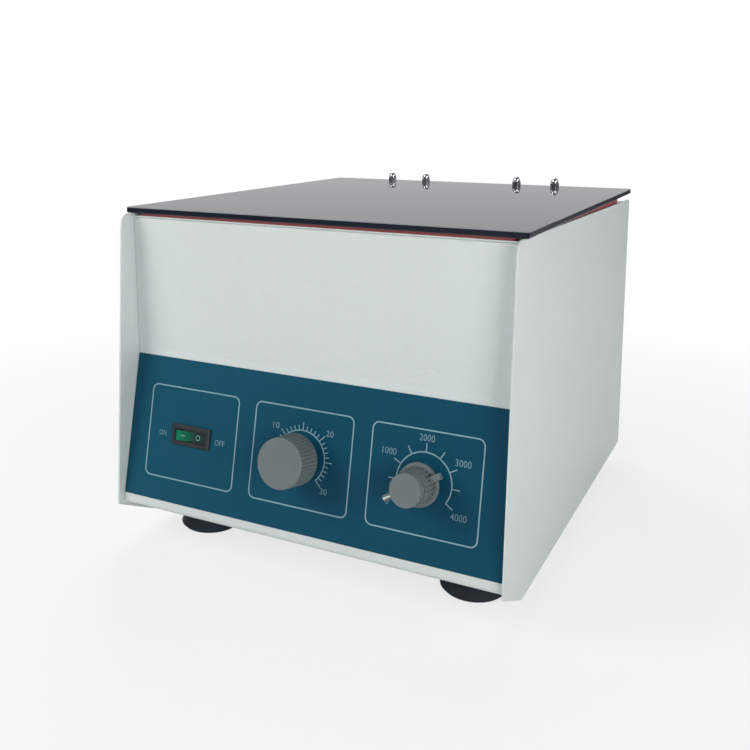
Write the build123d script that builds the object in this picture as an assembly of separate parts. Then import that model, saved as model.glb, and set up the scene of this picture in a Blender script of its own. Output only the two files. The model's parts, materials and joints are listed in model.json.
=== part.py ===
from build123d import *
import os
from math import asin, atan, atan2, cos, degrees, hypot, pi, radians, sin, tan

# Bench centrifuge with a flat tilting lid, a control panel and a fixed-angle tube rotor.
# Millimetres. +X is to the operator's right, +Y to the rear, +Z up, and the table is Z = 0.
# The pieces are drawn with Y = 0 at the front edge of the side panels, and the finished
# assembly is then moved so that its origin is the middle of its footprint.

# ---- driving dimensions: cabinet ----
cabinet_width = 330.0
cabinet_depth = 402.0
cabinet_top = 273.7             # top edge of the side panels above the table
lip_height = 34.0               # lowest edge of the front panel above the table
skirt_height = 13.5             # lower edge of the side panels above the table
skirt_cut_depth = 38.0          # the skirt's front corner is cut back this far
panel_sheet = 1.5               # steel of the side panels
body_sheet = 1.2                # steel of the other cabinet sheets
cheek_corner_radius = 8.5
cheek_top_setback = 5.5         # side panels' raked front edge behind the datum, at its top
cheek_low_reach = 5.0           # the same edge ahead of the datum, at the lip
rear_corner_radius = 3.0
deck_drop = 2.0                 # the deck lies this far below the side panels' top edge
front_top_recess = 19.5         # front panel behind the datum, at its top
front_bend_recess = 23.0        # the same at the bend
front_lip_recess = -0.9         # the same at the lip
front_bend_height = 162.0       # height of the bend above the table
bend_radius = 2.5
top_bend_radius = 1.2           # where the front panel turns in under the deck
flange_width = 14.0
deck_flange_depth = 10.0
flange_relief = 40.0            # the deck's side flanges stop short of the corners
tray_flange_height = 16.0
seat_gap = 0.1                  # between seated curved faces
panel_gap = 0.3                 # between the front panel and the side panels
tray_front_gap = 0.6            # between the tray's front edge and the front panel's bend
cut_past = 1.0                  # cutters run this far past the faces they open

# ---- driving dimensions: shared by the small screws ----
screw_head_round = 0.45         # of the head's height, rounded at its top
cross_length = 1.1              # of the head's radius
cross_width = 0.3               # of the head's height
cross_depth = 0.5               # of the head's height

# ---- driving dimensions: control panel ----
overlay_side_margin = 1.0       # white strip beside the overlay
overlay_top_margin = 5.6        # white strip above the overlay, below the bend
overlay_thickness = 0.4
overlay_corner_radius = 1.0
overlay_lip_margin = 9.1        # white strip below the overlay, along the slope
dial_height = 56.0              # dial centres above the overlay's lower edge
switch_inset = 61.2             # switch's middle from the overlay's left edge
speed_inset = 62.2              # speed dial's middle from the overlay's right edge
timer_x = 0.0

# ---- driving dimensions: switch ----
switch_lip = 2.05               # bezel beyond the switch's body, all round
switch_bezel_proud = 2.2
switch_body_depth = 18.0
switch_end_wall = 1.2           # at the rocker's ends
switch_side_wall = 1.5          # beside the rocker
switch_bezel_chamfer = 0.9
switch_well_depth = 11.0        # floor of the rocker's well behind the overlay's back
rocker_width = 27.4
rocker_height = 8.6
rocker_crease = 1.6             # middle of the rocker's face in front of the overlay's back
rocker_pivot_depth = 1.0        # pivot behind the overlay's back
rocker_tilt = 8.0               # degrees to each side of level
rocker_face_angle = 9.0         # slope of each half of the rocker's face
rocker_depth = 7.0              # below its pivot
rocker_pin_radius = 1.0
rocker_pin_bite = 1.0           # each end of the pin inside the switch's body
rocker_clearance = 0.35
switch_height = 55.4            # switch centre above the overlay's lower edge
terminal_width = 4.8
terminal_thickness = 0.8
terminal_length = 8.0
switch_terminal_count = 4
terminal_pitch = 7.0

# ---- driving dimensions: dials ----
knob_standoff = 9.0             # knobs' back faces above the overlay
time_knob_base_radius = 19.3
time_knob_face_radius = 18.5
time_knob_length = 22.3
time_knob_edge = 0.6
time_flute_count = 44
time_flute_start = 1.0          # plain band at the knob's back
time_flute_stop = 0.9           # flutes end this far below the knob's face
flute_radius = 0.6
flute_offset = 0.15             # centres of the flutes outside the grip's radius
speed_flange_radius = 15.3
speed_flange_thickness = 3.0
speed_edge_round = 0.8
speed_body_radius = 12.2
speed_cap_radius = 11.5
speed_cap_length = 7.0
speed_knob_length = 25.6
speed_flute_count = 24
pointer_width = 4.6
pointer_thickness = 4.5
pointer_chamfer = 0.8
mark_width = 1.5
mark_thickness = 0.4
pointer_reach = 26.0            # marked end of the pointer from the knob's axis
pointer_tail = 20.0             # plain end of the pointer from the knob's axis
speed_sweep = 246.4             # degrees from 0 to 4000 per minute
pointer_rest = 3.8              # degrees that the pointer rests past its lowest mark
shaft_radius = 3.0
shaft_fit = 0.05                # radial clearance of a shaft in its bush
shaft_engagement = 12.0         # shaft inside the knob
bush_radius = 4.8
bush_proud = 6.0                # threaded bush in front of the overlay
nut_flats = 14.0
nut_thickness = 3.0
timer_body_width = 46.0
timer_body_height = 42.0
timer_body_depth = 34.0
timer_corner_radius = 3.0
timer_bell_radius = 15.0
timer_bell_depth = 7.0
pot_radius = 14.0
pot_depth = 18.0
shaft_tail = 9.0                # shaft behind the front panel
dial_terminal_length = 7.0
timer_terminal_count = 2
pot_terminal_count = 3

# ---- driving dimensions: lid and hinges ----
lid_thickness = 4.8
lid_overhang = 3.3              # beyond the side panels
lid_front_setback = 16.0        # lid's front edge behind the datum
lid_rear_setback = 12.4         # lid's rear edge ahead of the cabinet's rear face
lid_corner_radius = 1.5
lid_edge_chamfer = 0.6
lid_front_gap = 2.3             # deck to the lid's underside at the lid's front edge
hinge_side_inset = 92.5         # middle of each hinge from the cabinet's side
hinge_width = 58.0
hinge_bolt_spacing = 41.0
hinge_bolt_setback = 14.0       # bolts ahead of the lid's rear edge
hinge_leaf_length = 26.0
hinge_leaf_thickness = 1.6
knuckle_count = 3
knuckle_radius = 4.6
hinge_pin_radius = 2.0
hinge_fit = 0.08
knuckle_gap = 0.4
pin_axis_behind_lid = 5.4
bolt_radius = 2.5
bolt_head_radius = 4.6
bolt_head_height = 2.2
acorn_flats = 8.0
acorn_hex_height = 4.2
acorn_dome_radius = 3.7
acorn_height = 9.2
thread_relief = 1.0             # beyond the bolt's end inside the acorn nut
hinge_screw_radius = 2.0
hinge_screw_head_radius = 3.6
hinge_screw_head_height = 1.4
hinge_screw_length = 8.0
hinge_screw_spacing = 40.0
hinge_screw_inset = 18.0        # lower leaf's screws ahead of the pin axis

# ---- driving dimensions: lid seal ----
seal_width = 7.0
seal_side_inset = 1.5
seal_front_inset = 0.5
seal_rear_inset = 42.0
seal_corner_radius = 9.0
seal_compression_gap = 0.3
seal_blank_height = 20.0        # before the lid's underside trims it

# ---- driving dimensions: chamber ----
bowl_side_gap = 13.3            # bowl's flange to the side panels' inner faces
bowl_front_gap = 35.3           # bowl's flange to the front panel's top
bowl_rear_gap = 12.0            # least, from the bowl's flange to the hinges' leaves
bowl_floor = 160.0
bowl_floor_hole = 32.0
bowl_floor_radius = 12.0
bowl_flange_width = 13.0
deck_lip = 5.0                  # deck inside the bowl's wall
trim_lip = 5.0
trim_wall = 1.3
boot_neck_radius = 10.0
boot_thickness = 1.5
boot_height = 14.0
boot_flange = 6.0
boot_step_radius = 22.0
bowl_screw_count = 8
bowl_screw_radius = 2.0
bowl_screw_head_radius = 3.8
bowl_screw_head_height = 1.6
bowl_screw_length = 7.0

# ---- driving dimensions: rotor ----
place_gap = 1.5                 # least, between a tube's flange and a middle line
rotor_clearance = 11.4          # lower ends of the sleeves to the bowl's wall
tube_tilt = 30.0                # degrees from vertical
mouth_height = 255.0            # tube mouths above the table
sleeve_bore = 11.0
sleeve_wall = 1.2
sleeve_length = 100.0
sleeve_flange_radius = 14.6
sleeve_flange_thickness = 2.0
sleeve_fit = 0.15
sleeve_end_round = 6.1
cushion_thickness = 3.0
cushion_height = 8.5
cushion_hollow = 10.0           # radius of the cushion's hollow
carrier_plate = 6.0
carrier_rim = 17.0              # plate beyond the tube mouths, along its slope
hub_radius = 21.0
hub_height = 44.0
hub_top = 244.0
rib_thickness = 4.0
rib_depth = 22.0
rib_root = 1.0                  # ribs run this far into the hub
rotor_nut_flats = 19.0
rotor_nut_height = 9.0
rotor_washer_radius = 15.0
rotor_washer_thickness = 2.0
spindle_radius = 6.0
spindle_thread_radius = 5.0
spindle_thread_length = 16.0
spindle_collar_radius = 9.0
spindle_collar_height = 3.0

# ---- driving dimensions: motor ----
motor_radius = 44.0
motor_can_length = 62.0
motor_can_wall = 2.5
motor_bell_length = 14.0
motor_bell_wall = 3.0
motor_bearing_radius = 13.0
motor_bearing_width = 8.0
armature_radius = 30.0
armature_length = 40.0
armature_slot_count = 12
armature_slot_depth = 5.0
armature_slot_width = 2.5
commutator_radius = 14.0
commutator_length = 14.0
brush_holder_radius = 6.0
brush_holder_proud = 2.0
brush_gap = 0.3
motor_plate_size = 124.0
motor_plate_thickness = 4.0
motor_plate_corner = 10.0
damper_spacing = 100.0
damper_radius = 10.0
damper_height = 18.0
damper_round = 2.0
damper_stud_radius = 2.5
motor_screw_radius = 2.5
motor_screw_count = 4
motor_screw_pitch_radius = 34.0
motor_screw_first = 45.0       # degrees round from +X
motor_screw_length = 14.0
motor_screw_head_radius = 5.0
motor_screw_head_height = 2.5
motor_boss_radius = 5.0
nut_m5_flats = 8.0
nut_m5_height = 4.0

# ---- driving dimensions: electrics ----
board_width = 90.0
board_length = 70.0
board_thickness = 1.6
board_side_gap = 23.5           # board's left edge from the side panel
board_rear_gap = 42.0           # board's rear edge from the cabinet's rear face
board_standoff_height = 10.0
board_standoff_radius = 3.0
board_rivet_height = 1.2
board_hole_inset = 5.0
board_screw_radius = 1.4
board_screw_head_radius = 2.8
board_screw_head_height = 1.4
board_screw_length = 4.0
small_parts_setback = 18.0      # capacitor and relay, ahead of the board's middle
sink_setback = 26.0             # heat sink's back plate, ahead of the board's rear edge
sink_width = 50.0
sink_depth = 16.0
sink_height = 30.0
sink_base = 3.0
sink_fin = 1.5
sink_fin_count = 6
capacitor_radius = 11.0
capacitor_length = 32.0
capacitor_round = 1.2
capacitor_inset = 16.5          # from the board's right edge
relay_width = 19.0
relay_depth = 15.5
relay_height = 15.0
relay_round = 1.0
relay_inset = 19.0              # from the board's left edge
inlet_inset = 68.5              # inlet's middle from the right side panel
inlet_height = 80.0
inlet_flange_width = 50.0
inlet_flange_height = 24.0
inlet_flange_thickness = 2.5
inlet_body_width = 28.0
inlet_body_height = 20.5
inlet_body_depth = 20.0
inlet_socket_width = 24.5
inlet_socket_height = 16.5
inlet_socket_depth = 17.0
inlet_corner = 4.0
inlet_screw_spacing = 40.0
inlet_screw_radius = 1.5
inlet_screw_head_radius = 2.9
inlet_screw_head_height = 1.5
inlet_screw_length = 8.0
inlet_pin_width = 4.0
inlet_pin_thickness = 2.0
inlet_pin_length = 14.0
inlet_pin_pitch = 7.0
fuse_pitch = 50.0               # fuse holder's middle from the inlet's
fuse_cap_radius = 7.0
fuse_cap_length = 7.0
fuse_collar_radius = 9.0
fuse_collar_thickness = 2.0
fuse_nut_flats = 18.0
fuse_flute_count = 16
fuse_flute_stop = 1.0
fuse_slot_width = 1.2
fuse_slot_depth = 1.0
fuse_body_radius = 6.2
fuse_body_length = 26.0
vent_count = 9
vent_rows = 2
vent_width = 5.0
vent_end_round = 2.4
vent_height = 34.0
vent_pitch = 12.0
vent_row_pitch = 46.0
vent_inset = 93.5               # middle of the vents from the left side panel
vent_z = 110.0
rear_screw_inset_x = 12.0
rear_screw_inset_z = 14.0
rear_screw_rows = 3
rear_screw_radius = 1.5
rear_post_radius = 5.0
rear_screw_head_radius = 3.0
rear_screw_head_height = 1.8
rear_screw_length = 7.0

# ---- driving dimensions: feet ----
foot_side_inset = 44.0
foot_front_y = 65.0
foot_rear_inset = 65.0
foot_radius = 26.5
foot_rim = 3.0
foot_edge_round = 1.5
foot_neck_radius = 13.0
foot_shoulder = 21.0
foot_screw_radius = 2.5
foot_screw_head_radius = 5.0
foot_screw_head_height = 3.0
foot_screw_recess = 14.0

# ---- derived places ----
half_width = cabinet_width / 2
inner_half = half_width - panel_sheet
deck_top = cabinet_top - deck_drop
deck_bottom = deck_top - body_sheet
tray_bottom = lip_height + body_sheet
tray_top = tray_bottom + body_sheet
slope_run = front_bend_recess - front_lip_recess
slope_rise = front_bend_height - lip_height
slope_angle = atan2(slope_run, slope_rise)
overlay_width = 2 * (inner_half - panel_gap - overlay_side_margin)
overlay_height = hypot(slope_run, slope_rise) - overlay_lip_margin - overlay_top_margin
switch_x = switch_inset - overlay_width / 2
speed_x = overlay_width / 2 - speed_inset
overlay_y = front_lip_recess + overlay_lip_margin * sin(slope_angle)
overlay_z = lip_height + overlay_lip_margin * cos(slope_angle)
panel_plane = Plane(
    origin=(0, overlay_y, overlay_z),
    x_dir=(1, 0, 0),
    z_dir=(0, -cos(slope_angle), sin(slope_angle)),
)
lid_rear_y = cabinet_depth - lid_rear_setback
hinge_axis_y = lid_rear_y + pin_axis_behind_lid
hinge_axis_z = deck_top + knuckle_radius
hinge_offset = half_width - hinge_side_inset
lid_reach = hinge_axis_y - lid_front_setback
lid_tilt = asin((knuckle_radius - lid_front_gap) / hypot(lid_reach, knuckle_radius))
lid_tilt = lid_tilt + atan(knuckle_radius / lid_reach)
lid_frame = Location((0, hinge_axis_y, hinge_axis_z), (degrees(lid_tilt), 0, 0))
tilt = radians(tube_tilt)
bowl_space = hinge_axis_y - hinge_leaf_length - bowl_rear_gap - front_top_recess - bowl_front_gap
bowl_reach = min(inner_half - bowl_side_gap, bowl_space / 2)
bowl_radius = bowl_reach - body_sheet - bowl_flange_width
chamber_y = front_top_recess + bowl_front_gap + bowl_reach
deck_opening_radius = bowl_radius - deck_lip
rotor_frame = Location((0, chamber_y, 0))
sleeve_radius = sleeve_bore + sleeve_wall
sleeve_spread = sleeve_length * sin(tilt) + sleeve_radius * cos(tilt)
mouth_radius = bowl_radius - rotor_clearance - sleeve_spread
places_that_fit = pi / asin((sleeve_flange_radius + place_gap) / mouth_radius)
pair_count = int(places_that_fit / 2)
place_count = 2 * pair_count
tray_flange_top = tray_bottom + tray_flange_height
carrier_drop = carrier_plate / cos(tilt)
motor_plate_bottom = tray_top + damper_height
motor_plate_top = motor_plate_bottom + motor_plate_thickness
motor_can_bottom = motor_plate_top + motor_bell_length
motor_can_top = motor_can_bottom + motor_can_length
motor_top = motor_can_top + motor_bell_length
hub_bottom = hub_top - hub_height
foot_x = half_width - foot_side_inset
foot_rear_y = cabinet_depth - foot_rear_inset
board_x = board_side_gap + board_width / 2 - inner_half
board_y = cabinet_depth - board_rear_gap - board_length / 2
inlet_x = inner_half - inlet_inset
fuse_x = inlet_x - fuse_pitch
vent_x = vent_inset - inner_half
bezel_face = overlay_thickness + switch_bezel_proud
rocker_face = rocker_pivot_depth + rocker_crease
rocker_rise = rocker_width / 2 * tan(radians(rocker_face_angle))
rocker_reach = hypot(rocker_width / 2, rocker_face + rocker_rise)
switch_body_width = 2 * (rocker_reach + rocker_clearance + switch_end_wall)
switch_body_height = rocker_height + 2 * (rocker_clearance + switch_side_wall)
switch_bezel_width = switch_body_width + 2 * switch_lip
switch_bezel_height = switch_body_height + 2 * switch_lip


# ---- helpers ----
def bent_sheet(points, thickness, radii):
    """Face of a sheet along the points, thick to their left, with an inner radius at each bend."""
    sides = []
    for (ax, ay), (bx, by) in zip(points, points[1:]):
        run = hypot(bx - ax, by - ay)
        sides.append(((ay - by) / run, (bx - ax) / run))
    far = []
    for i, (px, py) in enumerate(points):
        before = sides[max(i - 1, 0)]
        after = sides[min(i, len(sides) - 1)]
        mx, my = before[0] + after[0], before[1] + after[1]
        grow = 2 * thickness / (mx * mx + my * my)
        far.append((px + mx * grow, py + my * grow))
    face = make_face(Polyline(*points, *reversed(far), close=True))
    for i, radius in enumerate(radii, start=1):
        turn = sides[i - 1][0] * sides[i][1] - sides[i - 1][1] * sides[i][0]
        inner, outer = (far[i], points[i]) if turn > 0 else (points[i], far[i])
        for (px, py), bend in ((inner, radius), (outer, radius + thickness)):
            corner = face.vertices().sort_by_distance((px, py, 0))[0]
            face = fillet(corner, bend)
    return face


def across(face, width):
    """Profile drawn in Y and Z, made width wide in X about the middle."""
    return extrude(Plane.YZ * face, amount=width / 2, both=True)


def turned(points):
    """Solid of revolution about Z from a closed outline of radius and height."""
    outline = make_face(Polyline(*points, close=True))
    return revolve(Plane.XZ * outline, axis=Axis.Z)


def drum(radius, bottom, top):
    """Upright cylinder between two heights."""
    return Pos(0, 0, (bottom + top) / 2) * Cylinder(radius, top - bottom)


def bore(radius, bottom, top):
    """Cutter for a round hole right through whatever lies between two heights."""
    return drum(radius, bottom - cut_past, top + cut_past)


def ring(outer, inner, bottom, top):
    return drum(outer, bottom, top) - bore(inner, bottom, top)


def plate(x, y, z):
    """Box between pairs of limits."""
    size = (x[1] - x[0], y[1] - y[0], z[1] - z[0])
    middle = (sum(x) / 2, sum(y) / 2, sum(z) / 2)
    return Pos(*middle) * Box(*size)


def hexagon(flats, bottom, top):
    corner = flats / 2 / cos(radians(30))
    return Pos(0, 0, bottom) * extrude(RegularPolygon(corner, 6), amount=top - bottom)


def on_panel(x, up, out):
    """Place on the control panel: across it, up its slope, out from the overlay's back."""
    return panel_plane.location * Pos(x, up, out)


def around(count, radius, first=0.0):
    """Places on a circle about Z, each with +X pointing outward."""
    return [Rot(0, 0, first + i * 360 / count) * Pos(radius, 0, 0) for i in range(count)]


def pan_screw(head_radius, head_height, radius, length):
    """Screw along -Z with the underside of its head at Z = 0 and a cross recess."""
    head = drum(head_radius, 0, head_height)
    head = fillet(top_circle(head), head_height * screw_head_round)
    slot = Box(head_radius * cross_length, head_height * cross_width, 2 * head_height * cross_depth)
    cross = Pos(0, 0, head_height) * (slot + Rot(0, 0, 90) * slot)
    return head + drum(radius, -length, 0) - cross


def top_circle(solid):
    return solid.edges().filter_by(GeomType.CIRCLE).sort_by(Axis.Z)[-1]


def low_circle(solid):
    return solid.edges().filter_by(GeomType.CIRCLE).sort_by(Axis.Z)[0]


def group(pieces):
    """One node from pieces that stay separate solids."""
    return Compound(children=[solid for piece in pieces for solid in piece.solids()])


# ---- cabinet ----
def side_panel(side):
    outline = [
        (-cheek_low_reach, lip_height),
        (skirt_cut_depth, skirt_height),
        (cabinet_depth, skirt_height),
        (cabinet_depth, cabinet_top),
        (cheek_top_setback, cabinet_top),
    ]
    face = make_face(Polyline(*outline, close=True))
    front = face.vertices().sort_by_distance((cheek_top_setback, cabinet_top, 0))[0]
    face = fillet(front, cheek_corner_radius)
    rear = face.vertices().sort_by_distance((cabinet_depth, cabinet_top, 0))[0]
    face = fillet(rear, rear_corner_radius)
    sheet = extrude(Plane.YZ * face, amount=panel_sheet)
    return Pos(inner_half, 0, 0) * sheet if side > 0 else Pos(-half_width, 0, 0) * sheet


def front_panel():
    path = [
        (front_top_recess + flange_width, deck_bottom),
        (front_top_recess, deck_bottom),
        (front_bend_recess, front_bend_height),
        (front_lip_recess, lip_height),
        (front_lip_recess + flange_width, lip_height),
    ]
    profile = bent_sheet(path, body_sheet, [top_bend_radius, bend_radius, bend_radius])
    sheet = across(profile, 2 * (inner_half - panel_gap))
    return sheet - panel_cuts(-body_sheet, 0)


def panel_cuts(back, front):
    """Cut-outs for the switch and both bushes, through whatever lies between two depths."""
    width = switch_body_width + 2 * seat_gap
    height = switch_body_height + 2 * seat_gap
    window = Box(width, height, front - back + 2 * cut_past)
    cuts = on_panel(switch_x, switch_height, (front + back) / 2) * window
    for x in (timer_x, speed_x):
        cuts += on_panel(x, dial_height, 0) * bore(bush_radius + seat_gap, back, front)
    return cuts


def control_overlay():
    sheet = Box(overlay_width, overlay_height, overlay_thickness)
    sheet = fillet(sheet.edges().filter_by(Axis.Z), overlay_corner_radius)
    sheet = on_panel(0, overlay_height / 2, overlay_thickness / 2) * sheet
    return sheet - panel_cuts(0, overlay_thickness)


def top_deck():
    rear = cabinet_depth - body_sheet
    deck = plate((-inner_half, inner_half), (front_top_recess, rear), (deck_bottom, deck_top))
    flange_y = (flange_relief, cabinet_depth - flange_relief)
    flange_z = (deck_bottom - deck_flange_depth, deck_bottom)
    deck += plate((-inner_half, body_sheet - inner_half), flange_y, flange_z)
    deck += plate((inner_half - body_sheet, inner_half), flange_y, flange_z)
    deck -= rotor_frame * bore(deck_opening_radius, deck_bottom, deck_top)
    for place in bowl_screw_places():
        deck -= place * bore(bowl_screw_radius + seat_gap, -body_sheet, 0)
    for place in hinge_screw_places():
        deck -= place * bore(hinge_screw_radius + seat_gap, -body_sheet - hinge_leaf_thickness, 0)
    return deck


def bowl_screw_places():
    """Places of the bowl's screws, on the deck's top."""
    pitch_radius = bowl_radius + body_sheet + bowl_flange_width / 2
    half_step = 180 / bowl_screw_count
    ring_of = around(bowl_screw_count, pitch_radius, half_step)
    return [rotor_frame * Pos(0, 0, deck_top) * place for place in ring_of]


def rear_panel():
    path = [
        (cabinet_depth - flange_width, lip_height),
        (cabinet_depth, lip_height),
        (cabinet_depth, deck_bottom),
        (cabinet_depth - flange_width, deck_bottom),
    ]
    profile = bent_sheet(path, body_sheet, [body_sheet, body_sheet])
    sheet = across(profile, 2 * (inner_half - panel_gap))
    cutter_depth = 2 * (body_sheet + cut_past)
    slot = Box(vent_width, vent_height, cutter_depth)
    slot = fillet(slot.edges().filter_by(Axis.Z), vent_end_round)
    for row in range(vent_rows):
        for i in range(vent_count):
            x = vent_x + (i - (vent_count - 1) / 2) * vent_pitch
            sheet -= rear_face(x, vent_z + row * vent_row_pitch) * slot
    width = inlet_body_width + 2 * seat_gap
    height = inlet_body_height + 2 * seat_gap
    sheet -= rear_face(inlet_x, inlet_height) * Box(width, height, cutter_depth)
    sheet -= rear_face(fuse_x, inlet_height) * bore(fuse_body_radius + seat_gap, -body_sheet, 0)
    for place in rear_screw_places():
        sheet -= place * bore(rear_screw_radius + seat_gap, -body_sheet, 0)
    for place in inlet_screw_places():
        sheet -= place * bore(inlet_screw_radius + seat_gap, -body_sheet, 0)
    return sheet


def rear_screw_places():
    """Places on the rear face of the screws that hold the rear panel, heads to the rear."""
    low = tray_bottom + rear_screw_inset_z
    step = (deck_bottom - rear_screw_inset_z - low) / (rear_screw_rows - 1)
    x = inner_half - panel_gap - rear_screw_inset_x
    heights = [low + i * step for i in range(rear_screw_rows)]
    return [rear_face(side * x, z) for side in (-1, 1) for z in heights]


def rear_face(x, z):
    """Place on the cabinet's rear face with +Z pointing to the rear."""
    return Pos(x, cabinet_depth, z) * Rot(-90, 0, 0)


def rear_posts():
    """Threaded posts behind the rear panel's screws, fixed to the side panels."""
    low = -body_sheet - rear_screw_length
    reach = rear_screw_inset_x + panel_gap
    posts = []
    for place in rear_screw_places():
        web_x = (0, reach) if place.position.X > 0 else (-reach, 0)
        block = drum(rear_post_radius, low, -body_sheet)
        block += plate(web_x, (-rear_post_radius, rear_post_radius), (low, -body_sheet))
        posts.append(place * (block - bore(rear_screw_radius, low, -body_sheet)))
    return group(posts)


def base_tray():
    front = front_lip_recess + 2 * body_sheet + bend_radius + tray_front_gap
    rear = cabinet_depth - 2 * body_sheet - tray_front_gap
    tray = plate((-inner_half, inner_half), (front, rear), (tray_bottom, tray_top))
    flange_y = (flange_relief, cabinet_depth - flange_relief)
    flange_z = (tray_top, tray_flange_top)
    tray += plate((-inner_half, body_sheet - inner_half), flange_y, flange_z)
    tray += plate((inner_half - body_sheet, inner_half), flange_y, flange_z)
    for place in foot_places():
        tray -= place * bore(foot_screw_radius + seat_gap, tray_bottom, tray_top)
    for place in damper_places():
        tray -= place * bore(damper_stud_radius + seat_gap, tray_bottom, tray_top)
    for place in board_places():
        tray -= place * bore(board_screw_radius + seat_gap, tray_bottom, tray_top)
    return tray


# ---- feet ----
def foot_places():
    return [
        Pos(side * foot_x, y, 0) for side in (-1, 1) for y in (foot_front_y, foot_rear_y)
    ]


def foot():
    outline = make_face(
        Polyline(
            (0, 0),
            (foot_radius - foot_rim, 0),
            (foot_radius, foot_rim),
            (foot_neck_radius + foot_rim, foot_shoulder),
            (foot_neck_radius, tray_bottom),
            (0, tray_bottom),
            close=True,
        )
    )
    rim = outline.vertices().sort_by_distance((foot_radius, foot_rim, 0))[0]
    outline = fillet(rim, foot_edge_round)
    shoulder = outline.vertices().sort_by_distance((foot_neck_radius + foot_rim, foot_shoulder, 0))[0]
    outline = fillet(shoulder, foot_rim)
    body = revolve(Plane.XZ * outline, axis=Axis.Z)
    body -= drum(foot_screw_head_radius + seat_gap, -cut_past, foot_screw_recess)
    return body - bore(foot_screw_radius + seat_gap, foot_screw_recess, tray_bottom)


def foot_screw():
    length = tray_top + nut_m5_height - foot_screw_recess
    screw = pan_screw(foot_screw_head_radius, foot_screw_head_height, foot_screw_radius, length)
    return Pos(0, 0, foot_screw_recess) * Rot(180, 0, 0) * screw


def hex_nut(flats, height, hole_radius):
    return hexagon(flats, 0, height) - bore(hole_radius, 0, height)


# ---- lid, hinges and seal ----
def lid():
    width = cabinet_width + 2 * lid_overhang
    low, high = knuckle_radius, knuckle_radius + lid_thickness
    sheet = plate((-width / 2, width / 2), (-lid_reach, -pin_axis_behind_lid), (low, high))
    sheet = fillet(sheet.edges().filter_by(Axis.Z), lid_corner_radius)
    rims = sheet.faces().sort_by(Axis.Z)[-1].edges() + sheet.faces().sort_by(Axis.Z)[0].edges()
    sheet = chamfer(rims, lid_edge_chamfer)
    for place in bolt_places():
        sheet -= place * bore(bolt_radius + seat_gap, 0, lid_thickness)
    return lid_frame * sheet


def bolt_places():
    """Places of the hinge bolts on the lid's underside, in the lid's frame."""
    y = -pin_axis_behind_lid - hinge_bolt_setback
    half = hinge_bolt_spacing / 2
    spots = [side * hinge_offset + shift for side in (-1, 1) for shift in (-half, half)]
    return [Pos(x, y, knuckle_radius) for x in spots]


def hinge_leaf(knuckles, bolt_shifts, bolt_ahead, hole_radius):
    """Leaf on the +Z side of its axis, lying to -Y, with the given ones of its knuckles."""
    share = hinge_width / knuckle_count
    low = knuckle_radius - hinge_leaf_thickness
    notch = knuckle_radius + knuckle_gap
    leaf = plate(
        (-hinge_width / 2, hinge_width / 2), (-hinge_leaf_length, 0), (low, knuckle_radius)
    )
    for i in range(knuckle_count):
        x0 = -hinge_width / 2 + i * share
        if i in knuckles:
            x = (x0 + knuckle_gap / 2, x0 + share - knuckle_gap / 2)
            barrel = Pos(sum(x) / 2, 0, 0) * Rot(0, 90, 0) * Cylinder(knuckle_radius, x[1] - x[0])
            leaf += barrel
        else:
            leaf -= plate((x0 - knuckle_gap / 2, x0 + share + knuckle_gap / 2), (-notch, 0), (0, notch))
    leaf -= Rot(0, 90, 0) * Cylinder(hinge_pin_radius + hinge_fit, hinge_width + 2 * cut_past)
    for shift in bolt_shifts:
        leaf -= Pos(shift, -bolt_ahead, low) * bore(hole_radius, 0, hinge_leaf_thickness)
    return leaf


def upper_leaf():
    half = hinge_bolt_spacing / 2
    ahead = pin_axis_behind_lid + hinge_bolt_setback
    return lid_frame * hinge_leaf([1], (-half, half), ahead, bolt_radius + seat_gap)


def lower_leaf():
    half = hinge_screw_spacing / 2
    leaf = hinge_leaf([0, 2], (-half, half), hinge_screw_inset, hinge_screw_radius + seat_gap)
    return Pos(0, hinge_axis_y, hinge_axis_z) * mirror(leaf, about=Plane.XY)


def hinge_pin():
    pin = Rot(0, 90, 0) * Cylinder(hinge_pin_radius, hinge_width)
    return Pos(0, hinge_axis_y, hinge_axis_z) * pin


def both_hinges(solid):
    return group([Pos(side * hinge_offset, 0, 0) * solid for side in (-1, 1)])


def hinge_bolt():
    length = hinge_leaf_thickness + lid_thickness + acorn_hex_height
    bolt = pan_screw(bolt_head_radius, bolt_head_height, bolt_radius, length)
    return Pos(0, 0, -hinge_leaf_thickness) * Rot(180, 0, 0) * bolt


def acorn_nut():
    nut = hexagon(acorn_flats, 0, acorn_hex_height)
    chamfer_cone = Pos(0, 0, acorn_hex_height / 2) * Cone(
        acorn_flats / 2 + acorn_hex_height, acorn_flats / 2, acorn_hex_height
    )
    nut = nut & chamfer_cone
    neck = acorn_height - acorn_dome_radius
    dome = drum(acorn_dome_radius, 0, neck) + Pos(0, 0, neck) * Sphere(acorn_dome_radius)
    nut += dome & drum(2 * acorn_dome_radius, 0, acorn_height)
    nut -= drum(bolt_radius, -cut_past, acorn_hex_height + thread_relief)
    return Pos(0, 0, lid_thickness) * nut


def hinge_screw_places():
    y = hinge_axis_y - hinge_screw_inset
    half = hinge_screw_spacing / 2
    top = deck_top + hinge_leaf_thickness
    spots = [side * hinge_offset + shift for side in (-1, 1) for shift in (-half, half)]
    return [Pos(x, y, top) for x in spots]


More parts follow.
